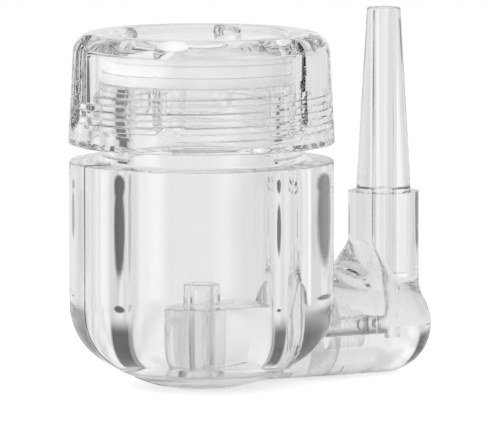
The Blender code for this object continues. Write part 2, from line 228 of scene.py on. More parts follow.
# Lamps: how far they stand to the right, back towards the camera and up, and their power in watts
LAMPS = {
    "key": (-0.35, 0.1, 0.5, 0.5),
    "fill": (0.4, -0.1, 0.45, 0.3),
}
LAMP_SIZE = 0.4
LAMP_AIM = Vector((0.0, 0.0, 0.02))

ACRYLIC_IOR = 1.49
SILICONE_IOR = 1.41


# ---------------------------------------------------------------- mesh tools


def arc(centre, radius, start_deg, end_deg, steps):
    """Points (radius, height) along an arc, from start to end."""
    angles = np.radians(np.linspace(start_deg, end_deg, steps + 1))
    return [(centre[0] + radius * math.cos(a), centre[1] + radius * math.sin(a)) for a in angles]


def line(start, end, steps):
    """Points along a straight stretch, without its first point."""
    return [
        (start[0] + (end[0] - start[0]) * i / steps, start[1] + (end[1] - start[1]) * i / steps)
        for i in range(1, steps + 1)
    ]


def even_angles(count):
    return np.linspace(0, 2 * math.pi, count, endpoint=False)


def mesh_object(name, vertices, faces):
    mesh = bpy.data.meshes.new(name)
    mesh.from_pydata([tuple(v) for v in vertices], [], faces)
    mesh.update()
    obj = bpy.data.objects.new(name, mesh)
    bpy.context.scene.collection.objects.link(obj)
    return obj


def lathe(name, profile, angles=None, closed=False, shift=None, open_after=None):
    """A solid turned from a profile that runs down its outer side. shift(point, normal, angles)
    gives how far each column stands out along the profile's normal. The faces after the profile's
    point open_after are left out, for a threaded wall."""
    angles = even_angles(192) if angles is None else angles
    count = len(angles)
    points = np.array(profile, float)
    ahead = np.roll(points, -1, 0) if closed else np.vstack([points[1:], points[-1:]])
    behind = np.roll(points, 1, 0) if closed else np.vstack([points[:1], points[:-1]])
    along = ahead - behind
    normals = np.stack([-along[:, 1], along[:, 0]], 1)
    normals /= np.maximum(np.linalg.norm(normals, axis=1), 1e-12)[:, None]
    vertices, rows = [], []
    for point, normal in zip(points, normals, strict=True):
        if point[0] < 1e-9:
            rows.append([len(vertices)])
            vertices.append((0.0, 0.0, point[1]))
            continue
        out = np.zeros(count) if shift is None else shift(point, normal, angles)
        radius = point[0] + normal[0] * out
        height = point[1] + normal[1] * out
        rows.append(list(range(len(vertices), len(vertices) + count)))
        vertices += list(zip(radius * np.cos(angles), radius * np.sin(angles), height, strict=True))
    faces = []
    last = len(rows) if closed else len(rows) - 1
    for i in range(last):
        if i == open_after:
            continue
        upper, lower = rows[i], rows[(i + 1) % len(rows)]
        for j in range(count):
            k = (j + 1) % count
            if len(upper) == 1:
                faces.append((upper[0], lower[j], lower[k]))
            elif len(lower) == 1:
                faces.append((upper[j], lower[0], upper[k]))
            else:
                faces.append((upper[j], lower[j], lower[k], upper[k]))
    return mesh_object(name, vertices, faces)


def rod(name, radius, low, high, centre=(0.0, 0.0), count=96):
    """An upright cylinder between two heights."""
    obj = lathe(name, [(0, high), (radius, high), (radius, low), (0, low)], even_angles(count))
    obj.data.transform(Matrix.Translation((centre[0], centre[1], 0.0)))
    return obj


def lay_along_x(obj, x=0.0, z=CHANNEL_Z):
    """Turn an upright shape so that its axis runs along +X at a height."""
    turn = Matrix.Rotation(math.pi / 2, 4, "Y")
    obj.data.transform(Matrix.Translation((x, 0.0, z)) @ turn)
    return obj


def cross_rod(name, radius, low, high, count=96):
    return lay_along_x(rod(name, radius, low, high, count=count))


def bake_modifiers(obj):
    """Replace an object's mesh by its evaluated one."""
    bpy.context.view_layer.update()
    evaluated = obj.evaluated_get(bpy.context.evaluated_depsgraph_get())
    mesh = bpy.data.meshes.new_from_object(evaluated)
    mesh.name = obj.name
    obj.modifiers.clear()
    obj.data = mesh
    return obj


def combine(obj, *steps):
    """Join or cut an object with others, in order, and remove those others."""
    for operation, other in steps:
        boolean = obj.modifiers.new(other.name, "BOOLEAN")
        boolean.operation = operation
        boolean.solver = "EXACT"
        boolean.object = other
        bake_modifiers(obj)
        bpy.data.objects.remove(other, do_unlink=True)
    return obj


def smooth(obj, degrees=32):
    obj.data.shade_smooth()
    obj.data.set_sharp_from_angle(angle=math.radians(degrees))
    return obj


def thread_share(heights, angles, start_z, turns):
    """How much of a helical ridge's full height a wall has at each column's height."""
    share = np.zeros(len(angles))
    around = (angles - THREAD_START_ANGLE) % (2 * math.pi) / (2 * math.pi)
    for turn in range(math.ceil(turns) + 1):
        along = turn + around
        near_end = np.clip(np.minimum(along, turns - along) / THREAD_FADE_TURNS, 0, 1)
        off = np.abs(heights - start_z - THREAD_PITCH * along)
        flank = np.clip((RIDGE_ROOT - off) / (RIDGE_ROOT - RIDGE_CREST), 0, 1)
        share = np.maximum(share, np.sin(near_end * math.pi / 2) * ease(flank))
    return share


def add_threaded_wall(obj, angles, radius, crest_radius, low, high, start_z, turns):
    """Close a turned shape's open wall with one that has a helical ridge. Its rows climb with the
    helix, and are cut off level at the wall's ends, where their doubled vertices merge."""
    count = len(angles)
    climb = THREAD_PITCH * (angles - angles[0]) / (2 * math.pi)
    step = THREAD_PITCH / THREAD_ROWS
    vertices = []
    bases = np.arange(low - THREAD_PITCH, high + 2 * step, step)
    for base in bases:
        heights = np.clip(base + climb, low, high)
        out = radius + (crest_radius - radius) * thread_share(heights, angles, start_z, turns)
        out = np.where((heights > low) & (heights < high), out, radius)
        vertices += list(zip(out * np.cos(angles), out * np.sin(angles), heights, strict=True))
    faces = []
    for i in range(len(bases) - 1):
        for j in range(count):
            past_seam = j + 1 == count
            k = i + THREAD_ROWS if past_seam else i
            if k + 1 < len(bases):
                low_next = k * count + (j + 1) % count
                faces.append((i * count + j, low_next, low_next + count, (i + 1) * count + j))
    if crest_radius < radius:
        faces = [face[::-1] for face in faces]
    wall = mesh_object("wall", vertices, faces)
    mesh = bmesh.new()
    mesh.from_mesh(obj.data)
    mesh.from_mesh(wall.data)
    bmesh.ops.remove_doubles(mesh, verts=mesh.verts, dist=MERGE)
    mesh.to_mesh(obj.data)
    mesh.free()
    bpy.data.objects.remove(wall, do_unlink=True)


def finish_piece(obj, body, slot, *nodes):
    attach(obj, body)
    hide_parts(*nodes)


# ------------------------------------------------------------------ shapes


def cup_profile():
    """The cup's outside, from the neck's top down to the foot."""
    dome_z = math.sqrt(DOME_RADIUS**2 - FOOT_RADIUS**2)
    corner_x = CUP_RADIUS - CORNER_RADIUS
    corner_z = dome_z - math.sqrt((DOME_RADIUS - CORNER_RADIUS) ** 2 - corner_x**2)
    meet = -90 + math.degrees(math.asin(corner_x / (DOME_RADIUS - CORNER_RADIUS)))
    foot = -90 + math.degrees(math.asin(FOOT_RADIUS / DOME_RADIUS))
    neck_round = (NECK_RADIUS - NECK_ROUND, NECK_TOP_Z - NECK_ROUND)
    fillet = (NECK_RADIUS + NECK_FILLET, LEDGE_Z + NECK_FILLET)
    ledge_round = (CUP_RADIUS - LEDGE_ROUND, LEDGE_Z - LEDGE_ROUND)
    points = [(0.0, NECK_TOP_Z)]
    points += arc(neck_round, NECK_ROUND, 90, 0, NECK_ROUND_STEPS)
    points += arc(fillet, NECK_FILLET, 180, 270, 5)
    points += arc(ledge_round, LEDGE_ROUND, 90, 0, 5)
    points += line(points[-1], (CUP_RADIUS, corner_z), 6)
    points += arc((corner_x, corner_z), CORNER_RADIUS, 0, meet, 26)[1:]
    points += arc((0.0, dome_z), DOME_RADIUS, meet, foot, 20)[1:]
    points.append((0.0, 0.0))
    return points


def cup_angles():
    """Even columns, with close ones across the parting line opposite the arm."""
    seam = math.pi + PARTING_HALF_ANGLE * np.array(PARTING_COLUMNS)
    columns = even_angles(192)
    columns = columns[np.abs(columns - math.pi) > 3 * PARTING_HALF_ANGLE]
    return np.sort(np.concatenate([columns, seam]))


def parting_line(point, normal, angles):
    """A hair of raised plastic down the wall and over the corner, on the side away from the arm. It
    dies out towards the foot, so that the cup still stands on its flat."""
    if point[1] > LEDGE_Z + NECK_FILLET:
        return np.zeros(len(angles))
    across = np.abs(angles - math.pi) / PARTING_HALF_ANGLE
    return min(PARTING_HEIGHT, point[1] / 2) * np.clip(PARTING_FLANK * (1 - across), 0.0, 1.0)


def chamber_cutter():
    fillet_centre = (CHAMBER_RADIUS - CHAMBER_FILLET, CHAMBER_FLOOR_Z + CHAMBER_FILLET)
    mouth = (CHAMBER_RADIUS + CHAMBER_BEVEL, NECK_TOP_Z)
    points = [(0.0, NECK_TOP_Z + SLICE), (mouth[0] + SLICE, NECK_TOP_Z + SLICE), mouth]
    points.append((CHAMBER_RADIUS, NECK_TOP_Z - CHAMBER_BEVEL))
    points += line(points[-1], (CHAMBER_RADIUS, CHAMBER_FLOOR_Z + CHAMBER_FILLET), 8)
    points += arc(fillet_centre, CHAMBER_FILLET, 0, -90, 12)[1:]
    points.append((0.0, CHAMBER_FLOOR_Z))
    return lathe("chamber_cutter", points, even_angles(160))


def plinth_block():
    """Half-round pillar widened into a web that reaches the arm's wall, with a rounded top edge."""
    edge = PLINTH_EDGE
    reach = CHAMBER_RADIUS + SLICE
    foot = CHAMBER_FLOOR_Z - SLICE
    levels = [(PLINTH_RADIUS, foot)]
    levels += [
        (PLINTH_RADIUS - edge * (1 - math.cos(a)), PLINTH_TOP_Z - edge * (1 - math.sin(a)))
        for a in np.linspace(0, math.pi / 2, PLINTH_EDGE_STEPS + 1)
    ]
    vertices, rings = [], []
    for radius, height in levels:
        outline = [(reach, radius)]
        outline += [
            (radius * math.cos(a), radius * math.sin(a))
            for a in np.linspace(math.pi / 2, 3 * math.pi / 2, 65)
        ]
        outline.append((reach, -radius))
        rings.append(range(len(vertices), len(vertices) + len(outline)))
        vertices += [(x, y, height) for x, y in outline]
    count = len(rings[0])
    faces = [tuple(reversed(rings[0])), tuple(rings[-1])]
    for lower, upper in zip(rings[:-1], rings[1:], strict=True):
        for j in range(count):
            k = (j + 1) % count
            faces.append((lower[j], lower[k], upper[k], upper[j]))
    return mesh_object("plinth_block", vertices, faces)


def mark_faces(obj, clear, *others):
    """Give an object its clear plastic, and other looks to the faces that their tests pick out."""
    obj.data.materials.clear()
    obj.data.materials.append(clear)
    for material, _ in others:
        obj.data.materials.append(material)
    for face in obj.data.polygons:
        passed = [i for i, (_, test) in enumerate(others, 1) if test(*face.center)]
        face.material_index = passed[0] if passed else 0


def in_rough_channel(x, y, z):
    """Where the drill left its marks: round the spigot's joint, and just short of the boss's bore."""
    is_rough = any(low < x < high for low, high in ROUGH_CHANNEL)
    return is_rough and math.hypot(y, z - CHANNEL_Z) < CHANNEL_RADIUS + PICK


def make_cup(clear, drawn, seam):
    profile, angles = cup_profile(), cup_angles()
    neck_top = 1 + NECK_ROUND_STEPS
    cup = lathe("cup_acrylic", profile, angles, shift=parting_line, open_after=neck_top)
    low, high = profile[neck_top + 1][1], profile[neck_top][1]
    neck = (NECK_RADIUS, NECK_CREST_RADIUS, low, high, THREAD_START_Z, NECK_TURNS)
    add_threaded_wall(cup, angles, *neck)
    socket_radius = NOZZLE_RADIUS - BOND
    socket = [(0.0, PLINTH_TOP_Z + SLICE), (socket_radius, PLINTH_TOP_Z + SLICE)]
    socket += [(socket_radius, NOZZLE_FOOT_Z), (socket_radius, NOZZLE_SOCKET_Z), (0.0, NOZZLE_SOCKET_Z)]
    combine(
        cup,
        ("UNION", cross_rod("stub", ARM_RADIUS, ARM_ROOT_X, ARM_END_X, 144)),
        ("UNION", cross_rod("spigot", SPIGOT_RADIUS, SPIGOT_ROOT_X, SPIGOT_END_X)),
        ("DIFFERENCE", chamber_cutter()),
        ("UNION", plinth_block()),
        ("DIFFERENCE", lathe("socket", socket, even_angles(96))),
        ("DIFFERENCE", cross_rod("channel", CHANNEL_RADIUS, 0.0, SPIGOT_END_X + SLICE, 48)),
    )

    def is_drawn(x, y, z):
        """The plinth's round side, and its well under the nozzle tube."""
        from_axis = math.hypot(x, y)
        in_well = from_axis < socket_radius + PICK and NOZZLE_SOCKET_Z - PICK < z < NOZZLE_FOOT_Z
        on_pillar = x < 0 and abs(from_axis - PLINTH_RADIUS) < PICK and CHAMBER_FLOOR_Z < z
        return z < PLINTH_TOP_Z and (in_well or on_pillar)

    def on_seam_painted_shade(x, y, z):
        """The parting line, from the ledge to near the foot, which gets painted shade."""
        outside = math.hypot(x, y) > NECK_RADIUS or z < CHAMBER_FLOOR_Z / 2
        return outside and x < -FOOT_RADIUS and abs(math.atan2(y, -x)) < PARTING_HALF_ANGLE

    # The parting line's raised hair is real geometry; its dark tint is painted shade.
    mark_faces(cup, clear, (drawn, is_drawn), (seam, on_seam_painted_shade))
    smooth(cup)
    finish_piece(cup, "cup", "clear_cup", "cup")


def cap_profile():
    """The cap's section: down its outer side, and back up its bore."""
    corner = (CAP_SHOULDER_RADIUS - CAP_CORNER, CAP_TOP_Z - CAP_CORNER)
    window = (WINDOW_RADIUS + WINDOW_ROUND, CAP_TOP_Z - WINDOW_ROUND)
    foot_outer = (CAP_FOOT_RADIUS - CAP_EDGE_ROUND, CAP_FOOT_Z + CAP_EDGE_ROUND)
    lip_fillet = (CAP_BORE - LIP_FILLET, LIP_Z - LIP_FILLET)
    lip_edge = (WINDOW_RADIUS + LIP_EDGE, LIP_Z + LIP_EDGE)
    points = arc(corner, CAP_CORNER, 90, 0, 18)
    points += line(points[-1], (CAP_FOOT_RADIUS, foot_outer[1]), 44)
    points += arc(foot_outer, CAP_EDGE_ROUND, 0, -90, 4)[1:]
    points += [(CAP_BORE + CAP_LEAD_IN, CAP_FOOT_Z), (CAP_BORE, CAP_FOOT_Z + CAP_LEAD_IN)]
    points += arc(lip_fillet, LIP_FILLET, 0, 90, 4)
    points += arc(lip_edge, LIP_EDGE, 270, 180, 3)
    points += arc(window, WINDOW_ROUND, 180, 90, 8)
    points += line(points[-1], points[0], 3)[:-1]
    return points


def cap_angles():
    """Close columns across each flute, and wider ones between."""
    step = 2 * math.pi / FLUTES
    near = np.radians(np.arange(-FLUTE_SPREAD_DEG, FLUTE_SPREAD_DEG + 0.01, FLUTE_STEP_DEG))
    far = np.linspace(near[-1], step + near[0], COLUMNS_BETWEEN_FLUTES + 2)[1:-1]
    one = np.concatenate([near, far])
    return np.concatenate([FLUTE_FIRST_ANGLE + step * i + one for i in range(FLUTES)])


def flute_shift(point, normal, angles):
    """Round-ended grooves from the side up over the shoulder, and none in the cap's bore."""
    if normal[0] <= 0:
        return np.zeros(len(angles))
    shoulder = (CAP_SHOULDER_RADIUS - CAP_CORNER, CAP_TOP_Z - CAP_CORNER)
    over = 0.0
    if point[1] > shoulder[1]:
        over = CAP_CORNER * math.atan2(point[1] - shoulder[1], point[0] - shoulder[0])
    beyond = max(0.0, FLUTE_END_Z - point[1], over - FLUTE_TOP_RUN)
    step = 2 * math.pi / FLUTES
    from_flute = (angles - FLUTE_FIRST_ANGLE + step / 2) % step - step / 2
    across = point[0] * np.sin(from_flute)
    share = 1 - (across**2 + beyond**2) / FLUTE_HALF_WIDTH**2
    return -FLUTE_DEPTH * np.maximum(0.0, share)


def make_cap(clear):
    profile, angles = cap_profile(), cap_angles()
    bore_foot = profile.index((CAP_BORE, CAP_FOOT_Z + CAP_LEAD_IN))
    options = {"closed": True, "shift": flute_shift, "open_after": bore_foot}
    cap = lathe("cap_acrylic", profile, angles, **options)
    low, high = profile[bore_foot][1], profile[bore_foot + 1][1]
    start = THREAD_START_Z + THREAD_PITCH / 2
    add_threaded_wall(cap, angles, CAP_BORE, CAP_CREST_RADIUS, low, high, start, CAP_TURNS)
    mark_faces(cap, clear)
    smooth(cap)
    finish_piece(cap, "cap", "clear_cap", "cap")


def ease(share):
    """0 to 1 with a gentle start and end."""
    return share**2 * (3 - 2 * share)


def round_union(a, b, radius):
    """Distance to the union of two shapes with a concave blend of that radius."""
    inner = np.hypot(np.maximum(radius - a, 0), np.maximum(radius - b, 0))
    return np.maximum(radius, np.minimum(a, b)) - inner


def elbow_distance(p):
    """Signed distance to the elbow: an arm with a ball end, a boss, and between the two a blend that
    widens into a sloping web on the side towards the cup. The blend dies out below the channel."""
    along = np.minimum(p[:, 0], BOSS_X)
    arm = np.sqrt((p[:, 0] - along) ** 2 + p[:, 1] ** 2 + (p[:, 2] - CHANNEL_Z) ** 2) - ARM_RADIUS
    up = np.maximum(p[:, 2], CHANNEL_Z)
    from_axis = np.hypot(p[:, 0] - BOSS_X, p[:, 1])
    boss = np.sqrt(from_axis**2 + (p[:, 2] - up) ** 2) - BOSS_RADIUS
    towards_cup = (BOSS_X - p[:, 0]) / np.maximum(from_axis, 1e-9)
    share = ease(np.clip(towards_cup, 0, 1))
    above = np.clip((p[:, 2] - CHANNEL_Z) / (ARM_RADIUS / 2), 0.01, 1)
    size = BLEND_SIZE + (FAR_BLEND_SIZE - BLEND_SIZE) * ease(np.clip(-towards_cup, 0, 1))
    rise = (size + (WEB_RISE - size) * share) * above
    run = (size + (WEB_RUN - size) * share) * above
    web = (arm / rise + boss / run - 1) / np.hypot(1 / rise, 1 / run)
    body = round_union(web, boss, WEB_TOP_BEND * above)
    return round_union(body, arm, (LEAST_BEND + (WEB_FOOT_BEND - LEAST_BEND) * share) * above)


def pull_to_surface(mesh, distance, rounds=8):
    """Move each vertex along the distance's slope until it lies on the surface."""
    points = np.empty(len(mesh.vertices) * 3)
    mesh.vertices.foreach_get("co", points)
    points = points.reshape(-1, 3)
    step = 0.01 * MM
    for _ in range(rounds):
        value = distance(points)
        slope = np.stack(
            [
                (distance(points + step * axis) - distance(points - step * axis)) / (2 * step)
                for axis in np.eye(3)
            ],
            1,
        )
        size = np.maximum((slope**2).sum(1), 0.05)  # no leaps where the slope dies out
        move = np.clip(value / size, -PULL_LIMIT, PULL_LIMIT)
        points = points - slope * move[:, None]
    mesh.vertices.foreach_set("co", points.ravel())
    mesh.update()


def ring_cutter():
    """A fine V groove round the arm."""
    outside = ARM_RADIUS + RING_CUTTER_RISE
    points = [
        (outside, RING_CUTTER_HALF),
        (outside, -RING_CUTTER_HALF),
        (ARM_RADIUS - RING_DEPTH, 0.0),
    ]
    return lay_along_x(lathe("ring_cutter", points, even_angles(144), closed=True), x=RING_X)


def channel_cutter():
    """The elbow's own channel, with a row of vertices where each rough stretch starts and ends."""
    stops = sorted({x for stretch in ROUGH_CHANNEL for x in stretch if x > SPIGOT_END_X - SLICE})
    stops = [SPIGOT_END_X - SLICE, *stops, BOSS_X]
    points = [(0.0, stops[-1])] + [(CHANNEL_RADIUS, x) for x in reversed(stops)] + [(0.0, stops[0])]
    return lathe("channel", points, even_angles(48))


def make_elbow(clear, rough):
    past = 2 * MM  # how far the raw shape runs past its two ends
    start = ARM_END_X - BOND
    elbow = rod("elbow_acrylic", BOSS_RADIUS, CHANNEL_Z, BOSS_TOP_Z + past, (BOSS_X, 0.0))
    ball = arc((0.0, 0.0), ARM_RADIUS, 90, 0, 24) + [(ARM_RADIUS, start - BOSS_X - past)]
    ball.append((0.0, start - BOSS_X - past))
    combine(elbow, ("UNION", lay_along_x(lathe("ball", ball, even_angles(96)), x=BOSS_X)))
    for _ in range(2):  # the first round finds the shape, and the second evens out its mesh
        remesh = elbow.modifiers.new("remesh", "REMESH")
        remesh.mode = "VOXEL"
        remesh.voxel_size = ELBOW_VOXEL
        bake_modifiers(elbow)
        pull_to_surface(elbow.data, elbow_distance)
    counterbore_end = SPIGOT_END_X - BOND
    wide = 20 * MM  # wider than the elbow
    top = rod("top", wide, BOSS_TOP_Z, BOSS_TOP_Z + wide, (BOSS_X, 0.0), 16)
    end = cross_rod("end", wide, start - wide, start, 16)
    socket_foot = SHANK_FOOT_Z + BOND
    socket = rod("socket", SHANK_RADIUS - BOND, socket_foot, BOSS_TOP_Z + SLICE, (BOSS_X, 0.0))
    bore_foot = CHANNEL_Z - STEM_BORE
    bore = rod("bore", STEM_BORE, bore_foot, SHANK_FOOT_Z + SLICE, (BOSS_X, 0.0), 128)
    counterbore = cross_rod("counterbore", SPIGOT_RADIUS - BOND, start - past, counterbore_end)
    combine(
        elbow,
        ("DIFFERENCE", top),
        ("DIFFERENCE", end),
        ("DIFFERENCE", socket),
        ("DIFFERENCE", bore),
        ("DIFFERENCE", lay_along_x(channel_cutter())),
        ("DIFFERENCE", counterbore),
        ("DIFFERENCE", ring_cutter()),
    )
    mark_faces(elbow, clear, (rough, in_rough_channel))
    smooth(elbow)
    finish_piece(elbow, "cup", "clear_elbow", "elbow")


def tube(name, outside, bore):
    """A turned tube, from its outside, top to bottom, and one straight bore."""
    points = outside + line((bore, outside[-1][1]), (bore, outside[0][1]), 6)
    points.insert(len(outside), (bore, outside[-1][1]))
    return lathe(name, points, even_angles(128), closed=True)


def make_stem(clear, bored):
    foot = BOSS_TOP_Z - BOND
    tip = (STEM_TIP_RADIUS - STEM_TIP_ROUND, STEM_TOP_Z - STEM_TIP_ROUND)
    outside = arc(tip, STEM_TIP_ROUND, 90, 0, 6)
    outside += line(outside[-1], (STEM_BASE_RADIUS, foot + STEM_BASE_BEVEL), 12)
    outside += [(STEM_BASE_RADIUS - STEM_BASE_BEVEL, foot), (SHANK_RADIUS, foot)]
    outside += [(SHANK_RADIUS, SHANK_FOOT_Z)]
    stem = tube("hose_stem_acrylic", outside, STEM_BORE)
    mark_faces(stem, clear, (bored, lambda x, y, z: math.hypot(x, y) < STEM_BORE + PICK))
    stem.data.transform(Matrix.Translation((BOSS_X, 0.0, 0.0)))
    smooth(stem)
    finish_piece(stem, "cup", "clear_stem", "hose_stem")


def make_nozzle(clear):
    top_edge = (NOZZLE_RADIUS - NOZZLE_EDGE, NOZZLE_TOP_Z - NOZZLE_EDGE)
    outside = arc(top_edge, NOZZLE_EDGE, 90, 0, 4)
    outside += line(outside[-1], (NOZZLE_RADIUS, NOZZLE_FOOT_Z), 6)
    nozzle = tube("nozzle_acrylic", outside, NOZZLE_BORE)
    nozzle.data.materials.append(clear)
    smooth(nozzle)
    finish_piece(nozzle, "cup", "clear_nozzle", "nozzle_tube")


def seal_ring(name, inner, low, high):
    """A flat ring with rounded edges."""
    outer, edge = SEAL_OUTER, SEAL_EDGE
    profile = arc((outer - edge, high - edge), edge, 90, 0, 4)
    profile += arc((outer - edge, low + edge), edge, 0, -90, 4)
    profile += arc((inner + edge, low + edge), edge, 270, 180, 4)
    profile += arc((inner + edge, high - edge), edge, 180, 90, 4)
    return lathe(name, profile, even_angles(128), closed=True)


def disc_plate(name, low, high):
    """A round plate with bevelled edges."""
    radius, bevel = DISC_RADIUS, DISC_BEVEL
    profile = [
        (0.0, high),
        (radius / 2, high),
        (radius - bevel, high),
        (radius, high - bevel),
        (radius, low + bevel),
        (radius - bevel, low),
        (radius / 2, low),
        (0.0, low),
    ]
    return lathe(name, profile, even_angles(128))


def make_stack(silicone, ceramic):
    """The seals and the disc, each as thick as the room it fills."""
    seal_top = (SEAL_HIGH[2] + DISC_LOW[2]) / 2
    disc_top = (DISC_HIGH[2] + GASKET_LOW[2]) / 2
    seal = seal_ring("lower_seal_ring", LOWER_SEAL_INNER, NECK_TOP_Z - BOND, seal_top + BOND)
    gasket = seal_ring("upper_seal_ring", UPPER_SEAL_INNER, disc_top + TOUCH, LIP_Z - TOUCH)
    disc = disc_plate("ceramic_disc_plate", seal_top, disc_top)
    for obj, material in ((seal, silicone), (gasket, silicone), (disc, ceramic)):
        obj.data.materials.append(material)
        smooth(obj)
    finish_piece(seal, "cup", "silicone", "lower_seal")
    finish_piece(gasket, "gasket", "silicone", "upper_seal")
    finish_piece(disc, "cup", "ceramic", "ceramic_disc")


# ---------------------------------------------------------------- materials


class Graph:
    """A few shorthands over a material's or a world's nodes."""

    def __init__(self, tree):
        self.tree = tree

    def feed(self, node, inputs):
        """Link or set a node's inputs."""
        for name, value in inputs.items():
            if isinstance(value, bpy.types.NodeSocket):
                self.tree.links.new(value, node.inputs[name])
            else:
                node.inputs[name].default_value = value

    def add(self, kind, inputs=None, **settings):
        node = self.tree.nodes.new(kind)
        for name, value in settings.items():
            setattr(node, name, value)
        self.feed(node, inputs or {})
        return node

    def math(self, operation, *values):
        return self.add("ShaderNodeMath", dict(enumerate(values)), operation=operation).outputs[0]

    def remap(self, value, low, high, to_low, to_high):
        """Move a value smoothly from one range to another."""
        inputs = {"Value": value, "From Min": low, "From Max": high}
        inputs |= {"To Min": to_low, "To Max": to_high}
        return self.add("ShaderNodeMapRange", inputs, interpolation_type="SMOOTHSTEP").outputs[0]

    def place(self):
        """Where a point lies on its object, in metres."""
        return self.add("ShaderNodeTexCoord").outputs["Object"]

    def stretch(self, place, scale):
        return self.add("ShaderNodeMapping", {"Vector": place, "Scale": scale}).outputs[0]

    def noise(self, place, scale, detail):
        inputs = {"Vector": place, "Scale": scale, "Detail": detail}
        return self.add("ShaderNodeTexNoise", inputs).outputs["Fac"]

    def tint(self, share, dark, light, start=0.0, end=1.0):
        """A colour that goes from dark to light as the share goes from start to end."""
        node = self.add("ShaderNodeValToRGB", {"Fac": share})
        first, last = node.color_ramp.elements
        first.position, first.color = start, (*dark, 1.0)
        last.position, last.color = end, (*light, 1.0)
        return node.outputs["Color"]

    def bump(self, height, strength=1.0, distance=1.0):
        inputs = {"Height": height, "Strength": strength, "Distance": distance}
        return self.add("ShaderNodeBump", inputs).outputs["Normal"]


def grey(level):
    return (level, level, level)


def new_material(name):
    material = bpy.data.materials.new(name)
    material.use_nodes = True
    graph = Graph(material.node_tree)
    return material, graph, material.node_tree.nodes["Principled BSDF"]


def drilled(name):
    """Acrylic roughened by a drill: dark chatter marks across the hole."""
    material, graph, shader = new_material(name)
    marks = graph.noise(graph.stretch(graph.place(), (1.0, 0.25, 0.12)), 2600.0, 3.0)
    looks = {
        "Base Color": graph.tint(marks, grey(0.12), grey(0.95), 0.42, 0.56),
        "Normal": graph.bump(marks, 0.6, 0.05 * MM),
        "Roughness": 0.35,
        "Transmission Weight": 0.8,
        "IOR": ACRYLIC_IOR,
    }
    graph.feed(shader, looks)
    return material


def acrylic(name, roughness, wave=0.004 * MM, streak=0.0, darkest=0.967, uneven=0.4):
    """Clear moulded acrylic, with slow waves from moulding and an uneven faint haze. Faces that were
    drawn from the mould also have upright streaks, as deep as streak."""
    material, graph, shader = new_material(name)
    place = graph.place()
    waves = graph.noise(place, 260.0, 1.5)
    grain = graph.noise(place, 2400.0, 3.0)
    height = graph.math("MULTIPLY", waves, wave)
    shade = waves
    if streak:
        lines = graph.noise(graph.stretch(place, (1.0, 1.0, 0.02)), 5000.0, 2.0)
        shade = graph.remap(lines, 0.38, 0.62, 0.0, 1.0)
        height = graph.math("ADD", height, graph.math("MULTIPLY", lines, streak))
    least, most = roughness * (1 - uneven), roughness * (1 + uneven)
    # A low darkest, as on the parting line, makes this tint painted shade.
    looks = {
        "Base Color": graph.tint(shade, (darkest - 0.002, darkest, darkest), (0.993, 0.994, 0.993)),
        "Roughness": graph.remap(grain, 0.35, 0.75, least, most),
        "Normal": graph.bump(height),
        "Transmission Weight": 1.0,
        "IOR": ACRYLIC_IOR,
    }
    graph.feed(shader, looks)
    return material


def silicone_material():
    """Milky silicone with a soft cloudiness."""
    material, graph, shader = new_material("translucent_silicone")
    cloud = graph.noise(graph.place(), 900.0, 4.0)
    looks = {
        "Base Color": graph.tint(cloud, (0.93, 0.935, 0.935), (0.98, 0.985, 0.98)),
        "Normal": graph.bump(cloud, 0.3, 0.05 * MM),
        "Roughness": 0.3,
        "Transmission Weight": 0.15,
        "IOR": SILICONE_IOR,
    }
    graph.feed(shader, looks)
    return material


def ceramic_material():
    """Fine sintered ceramic: off-white grains, with painted shade in the pinholes between them."""
    material, graph, shader = new_material("porous_ceramic")
    place = graph.place()
    cells = graph.add("ShaderNodeTexVoronoi", {"Vector": place, "Scale": 5200.0})
    pore_relief_and_shade = graph.remap(cells.outputs["Distance"], 0.0, 0.5, 0.0, 1.0)
    mottle = graph.noise(place, 700.0, 5.0)
    # The pores darken the tint: painted shade in the pinholes. The mottle is the ceramic's own tone.
    mixed = graph.math("ADD", mottle, graph.math("MULTIPLY", pore_relief_and_shade, -0.35))
    looks = {
        "Base Color": graph.tint(mixed, (0.84, 0.84, 0.83), (0.93, 0.93, 0.925)),
        "Normal": graph.bump(pore_relief_and_shade, 0.6, 0.02 * MM),
        "Roughness": 0.85,
    }
    graph.feed(shader, looks)
    return material


# --------------------------------------------------------------------- stage


def make_table(name, height, albedo, glow, reach=None):
    """A round table top. With a reach, its glow dies out between half of it and all of it, a painted
    pool of light round its middle.
    """
    table = lathe(name, [(0.0, 0.0), (FLOOR_RADIUS, 0.0)], even_angles(64))
    table.data.flip_normals()
    table.location.z = height
    material, graph, shader = new_material(name)
    place = graph.place()
    cloud = graph.noise(place, 30.0, 4.0)
    if reach:
        # Painted pool of light: glow that fades out from the middle of the table.
        from_middle = graph.add("ShaderNodeVectorMath", {0: place}, operation="LENGTH")
        glow = graph.remap(from_middle.outputs["Value"], reach / 2, reach, glow, 0.0)
    looks = {
        "Base Color": graph.tint(cloud, grey(albedo - 0.02), grey(albedo + 0.02)),
        "Roughness": 0.7,
        "Emission Color": (1.0, 1.0, 1.0, 1.0),
        "Emission Strength": glow,
    }
    graph.feed(shader, looks)
    table.data.materials.append(material)
    return table


def make_floor():
    """A plain pale table top, and the duller one that shows through the plastic, as in a grey tent,
    with a painted pool of light under the cup.
    """
    table = make_table("floor", -FLOOR_DROP / 2, FLOOR_ALBEDO, FLOOR_GLOW)
    table.visible_transmission = False
    table.visible_glossy = False
    table.visible_diffuse = False
    table.visible_shadow = False
    inner = make_table("floor_in_plastic", -FLOOR_DROP, INNER_ALBEDO, PAINTED_LIGHT_POOL, PAINTED_LIGHT_POOL_REACH)
    inner.visible_camera = False


def view_axes():
    """The camera's right, up and back directions."""
    cos, sin = math.cos(VIEW_AZIMUTH), math.sin(VIEW_AZIMUTH)
    level = math.cos(VIEW_ELEVATION)
    right = Vector((cos, sin, 0.0))
    back = Vector((sin * level, -cos * level, math.sin(VIEW_ELEVATION)))
    return right, back.cross(right), back


